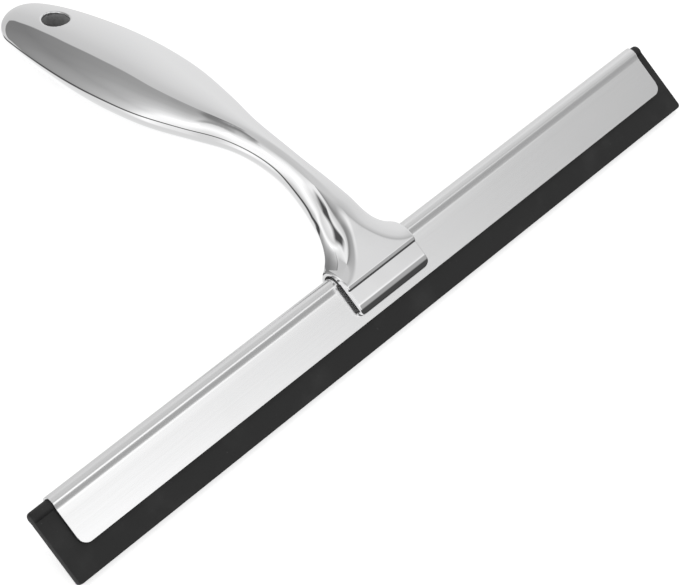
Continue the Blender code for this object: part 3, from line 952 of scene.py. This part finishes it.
plate_front = 2 * MIDDLE - CLEARANCE
plate_back = plate_front - PLATE_THICKNESS
rounding = [(PLATE_ARRIS * (1 - math.sin(t)), PLATE_ARRIS * (1 - math.cos(t)))
            for t in np.linspace(0, math.pi / 2, 4)]
back_rings = [plate_ring(plate_back + lift, inset) for inset, lift in reversed(rounding)]
front_rings = [plate_ring(plate_front - lift, inset) for inset, lift in rounding]
# Known fault: each rounding runs the wrong way round and the first ring repeats, so the plate's skin folds
# back on itself at both faces and is inside out. The back's rings should widen and the front's narrow.
plate = skin("clamp_strip", [plate_ring(plate_back, PLATE_ARRIS)] + back_rings + front_rings)
strip_steel, tree, shader = material_tree("tumbled_steel")
shader.inputs["Metallic"].default_value = 1
grain = placed(tree, ground, Fineness=600.0, Stretch=0.05)
wear = placed(tree, edge_wear, Sharpness=0.54, Break_Up=1200.0)
shade = sum_of(tree, "MULTIPLY_ADD", wear.outputs["Mask"], -0.4, grain.outputs["Grain"], clamp=True)
tint = add_node(tree, "Mix", {"Factor": shade, 6: grey(0.62), 7: grey(0.44)}, data_type="RGBA")
tree.links.new(tint.outputs[2], shader.inputs["Base Color"])
tree.links.new(sum_of(tree, "MULTIPLY_ADD", grain.outputs["Cloud"], 0.2, 0.28), shader.inputs["Roughness"])
bumped(tree, shader, grain.outputs["Grain"], 0.00001)
plate.data.materials.append(strip_steel)
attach(plate, "clamp_plate")
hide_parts("clamp_plate")


# ---- Clamp screws ----
# Two M4 stainless set screws, turned from bar, with a rolled thread, a flat chamfered point and a pressed
# hexagon socket. They run in the saddle's thick rear wall and bear on the clamp plate.

SCREW_RADIUS = 0.0020
SCREW_LENGTH = 0.0034
THREAD_PITCH = 0.0007
THREAD_DEPTH = 0.00028
POINT_RADIUS = 0.0012
BACK_RADIUS = 0.0017
SOCKET_FLAT = 0.0010
SOCKET_DEPTH = 0.0016
SCREW_POINTS = 48
THREAD_RINGS = 44


def screw_rings(x):
    """Rings from the point, along the thread, over the back end and down into the hexagon socket."""
    point = plate_back - CLEARANCE
    turns = [2 * math.pi * i / SCREW_POINTS for i in range(SCREW_POINTS)]

    def ring(depth, radius_at):
        return [(x + radius_at(t) * math.cos(t), SCREW_HEIGHT + radius_at(t) * math.sin(t), point - depth)
                for t in turns]

    def threaded(depth):
        chamfer = min(POINT_RADIUS + depth, BACK_RADIUS + SCREW_LENGTH - depth)

        def radius(turn):
            phase = (depth / THREAD_PITCH - turn / (2 * math.pi)) % 1
            groove = min(1, abs(2 * phase - 1) * 1.25)
            return min(chamfer, SCREW_RADIUS - THREAD_DEPTH * (1 - groove))

        return radius

    def hexagon(scale):
        return lambda turn: scale * SOCKET_FLAT / math.cos((turn % (math.pi / 3)) - math.pi / 6)

    rings = [ring(SCREW_LENGTH * i / THREAD_RINGS, threaded(SCREW_LENGTH * i / THREAD_RINGS))
             for i in range(THREAD_RINGS + 1)]
    rings.append(ring(SCREW_LENGTH, lambda turn: 1.35 * SOCKET_FLAT))
    rings.append(ring(SCREW_LENGTH - 0.0001, hexagon(1.04)))
    rings.append(ring(SCREW_LENGTH - SOCKET_DEPTH * 0.5, hexagon(1.0)))
    rings.append(ring(SCREW_LENGTH - SOCKET_DEPTH, hexagon(1.0)))
    rings.append(ring(SCREW_LENGTH - SOCKET_DEPTH - 0.0003, lambda turn: 0.3 * SOCKET_FLAT))
    return rings


bright_steel, tree, shader = material_tree("turned_steel")
shader.inputs["Metallic"].default_value = 1
wear = placed(tree, edge_wear, Sharpness=0.55, Break_Up=1500.0)
marks = placed(tree, handling, Smudge_Scale=400.0, Hairline_Scale=900.0)
shade = sum_of(tree, "MULTIPLY_ADD", wear.outputs["Mask"], 0.6, marks.outputs["Hairline"], clamp=True)
tint = add_node(tree, "Mix", {"Factor": shade, 6: grey(0.42), 7: grey(0.66)}, data_type="RGBA")
tree.links.new(tint.outputs[2], shader.inputs["Base Color"])
tree.links.new(sum_of(tree, "MULTIPLY_ADD", marks.outputs["Smudge"], 0.2, 0.24), shader.inputs["Roughness"])
for side, x in (("left", HANDLE_OFFSET - SCREW_REACH), ("right", HANDLE_OFFSET + SCREW_REACH)):
    screw = skin(f"set_screw_{side}", screw_rings(x))
    screw.data.materials.append(bright_steel)
    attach(screw, f"clamp_screw_{side}")
    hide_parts(f"clamp_screw_{side}")
